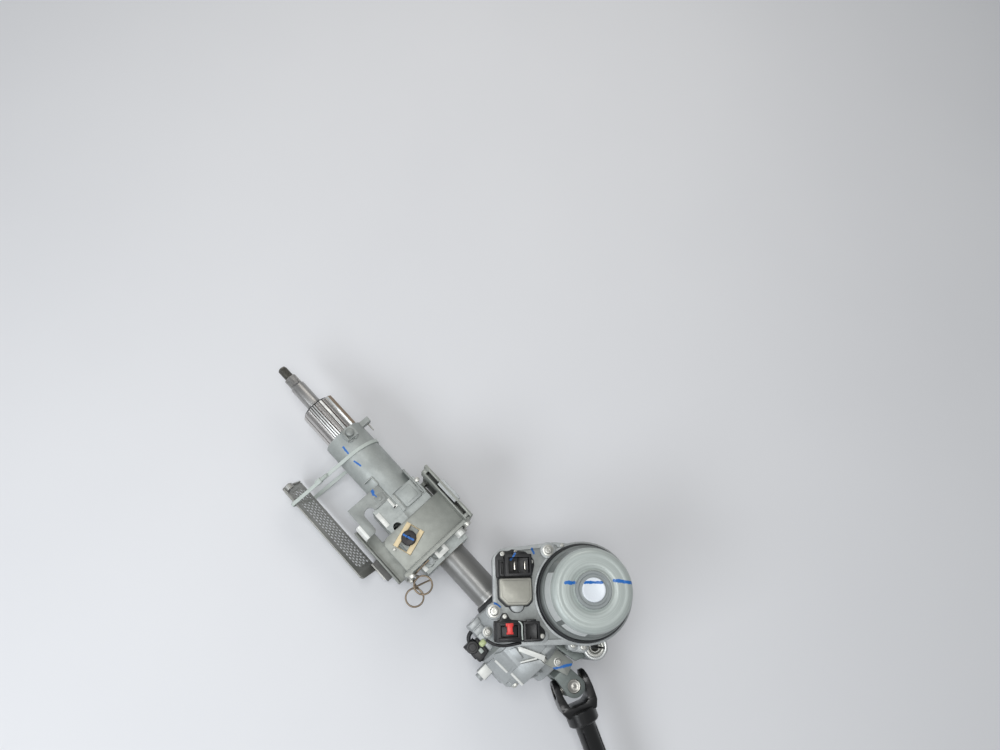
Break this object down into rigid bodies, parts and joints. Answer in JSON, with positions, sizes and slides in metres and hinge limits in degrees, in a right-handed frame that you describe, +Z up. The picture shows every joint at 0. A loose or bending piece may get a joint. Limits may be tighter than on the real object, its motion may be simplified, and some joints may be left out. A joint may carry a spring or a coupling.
{
  "type": "steering column",
  "caption": "Power-assisted steering column with telescoping jacket, tilt bracket, perforated release lever, worm gear housing, motor, control unit and jointed intermediate shaft.",
  "frame": {"origin": "on the steering axis at the shoulder behind the wheel-nut thread", "axes": "+X down the column towards the intermediate shaft, +Y towards the motor, +Z up as the column lies, along the tilt pivot, clamp bolt and motor"},
  "size_m": [0.8645, 0.2815, 0.1842],
  "materials": {
    "cast_jacket": "matte cast",
    "turned_nose": "turned",
    "shaft_steel": "satin ground",
    "bearing_steel": "polished",
    "dark_steel": "black phosphate",
    "zinc_bolt": "zinc plated",
    "sheet_steel": "zinc plated sheet",
    "capsule": "die cast",
    "lever_steel": "bare sheet",
    "spring_wire": "oil tempered",
    "nut_zinc": "yellow zinc",
    "cream_plastic": "moulded acetal",
    "white_plastic": "moulded nylon",
    "tie_nylon": "nylon",
    "tube_steel": "dark satin coat",
    "seal_rubber": "moulded",
    "cast_housing": "die cast with machined faces",
    "machined_cover": "machined",
    "black_plastic": "moulded",
    "copper": "enamelled wire",
    "motor_paint": "pale coated can",
    "cap_white": "moulded",
    "lid_grey": "coated lid",
    "board_green": "circuit board",
    "yoke_grey": "forged, phosphate",
    "shaft_black": "gloss black"
  },
  "bodies": {
    "column": {"gear_housing": "cast_housing", "gear_cover": "machined_cover", "worm_plug": "dark_steel", "pivot_bush": "zinc_bolt", "output_plate": "sheet_steel", "output_bearing": "bearing_steel", "input_bearing": "bearing_steel", "sensor_housing": "cast_housing", "sensor_coil": "copper", "sensor_plug": "black_plastic", "sensor_lead": "black_plastic", "housing_screws": "zinc_bolt", "lower_tube": "tube_steel", "tube_seal": "seal_rubber", "worm_bearings": "bearing_steel", "stator": "copper", "motor_can": "motor_paint", "motor_seal": "seal_rubber", "motor_cap": "cap_white", "unit_base": "cast_housing", "unit_lid": "lid_grey", "circuit_board": "board_green", "power_socket": "black_plastic", "signal_socket": "black_plastic", "unit_screws": "zinc_bolt", "clamp_bolt": "dark_steel", "pressure_cam": "zinc_bolt", "thrust_washer": "bearing_steel", "clamp_nut": "nut_zinc", "balance_spring": "spring_wire"},
    "jacket": {"jacket": "cast_jacket", "nose_tube": "turned_nose", "upper_bearing": "bearing_steel", "nose_ring": "dark_steel", "lock_bolt": "zinc_bolt", "stop_plate": "lever_steel", "cable_tie": "tie_nylon", "telescope_bush": "white_plastic"},
    "steering_shaft": {"upper_shaft": "shaft_steel"},
    "bracket": {"cheek_bracket": "sheet_steel", "mounting_flange": "sheet_steel", "end_plate": "sheet_steel", "release_capsules": "capsule", "tilt_bush": "cream_plastic"},
    "lever": {"lever_arm": "lever_steel", "lever_panel": "lever_steel", "rotating_cam": "dark_steel"},
    "output": {"lower_shaft": "shaft_steel", "torsion_bar": "shaft_steel", "sensor_rotor": "dark_steel", "wheel_hub": "shaft_steel", "worm_wheel": "cream_plastic", "output_shaft": "yoke_grey"},
    "worm": {"worm": "shaft_steel", "rotor": "dark_steel"},
    "upper_cross": {"upper_cross": "bearing_steel"},
    "slide_tube": {"slide_tube": "shaft_black"},
    "slide_shaft": {"slide_shaft": "shaft_black"},
    "lower_cross": {"lower_cross": "bearing_steel"},
    "lower_yoke": {"lower_yoke": "shaft_black"}
  },
  "joints": [
    {"name": "telescope", "type": "slide", "parent": "column", "child": "jacket", "axis": [1, 0, 0], "range_m": [-0.02, 0.02]},
    {"name": "tilt", "type": "hinge", "parent": "column", "child": "bracket", "pos_m": [0.503, 0.047, 0], "axis": [0, 0, 1], "range_deg": [-2.2, 2.2], "deforming": ["balance_spring"]},
    {"name": "release_lever", "type": "hinge", "parent": "column", "child": "lever", "pos_m": [0.261, -0.0275, -0.04], "axis": [0, 0, 1], "range_deg": [0, 50], "deforming": ["cable_tie"]},
    {"name": "output_turn", "type": "hinge", "parent": "column", "child": "output", "pos_m": [0.447, 0, 0], "axis": [1, 0, 0], "continuous": true},
    {"name": "wheel_turn", "type": "hinge", "parent": "jacket", "child": "steering_shaft", "pos_m": [0.06, 0, 0], "axis": [1, 0, 0], "continuous": true},
    {"name": "worm_turn", "type": "hinge", "parent": "column", "child": "worm", "pos_m": [0.447, 0.07448, 0], "axis": [0, 0, 1], "continuous": true},
    {"name": "upper_cross_turn", "type": "hinge", "parent": "output", "child": "upper_cross", "pos_m": [0.518, 0, 0], "axis": [0, 0, 1], "range_deg": [-8, 52]},
    {"name": "slide_tube_turn", "type": "hinge", "parent": "upper_cross", "child": "slide_tube", "pos_m": [0.518, 0, 0], "axis": [0.3746, 0.9272, 0], "range_deg": [-37, 23]},
    {"name": "shaft_slide", "type": "slide", "parent": "slide_tube", "child": "slide_shaft", "axis": [0.9205, -0.3719, -0.12], "range_m": [-0.03, 0.04]},
    {"name": "lower_cross_turn", "type": "hinge", "parent": "slide_shaft", "child": "lower_cross", "pos_m": [0.78494, -0.10785, -0.0348], "axis": [0.3746, 0.9272, 0], "range_deg": [-30, 30]},
    {"name": "lower_yoke_turn", "type": "hinge", "parent": "lower_cross", "child": "lower_yoke", "pos_m": [0.78494, -0.10785, -0.0348], "axis": [0.1113, -0.045, 0.9928], "range_deg": [-30, 30]}
  ],
  "couplings": [
    {"joint": "wheel_turn", "follows": "output_turn", "ratio": 1},
    {"joint": "worm_turn", "follows": "output_turn", "ratio": -21}
  ]
}
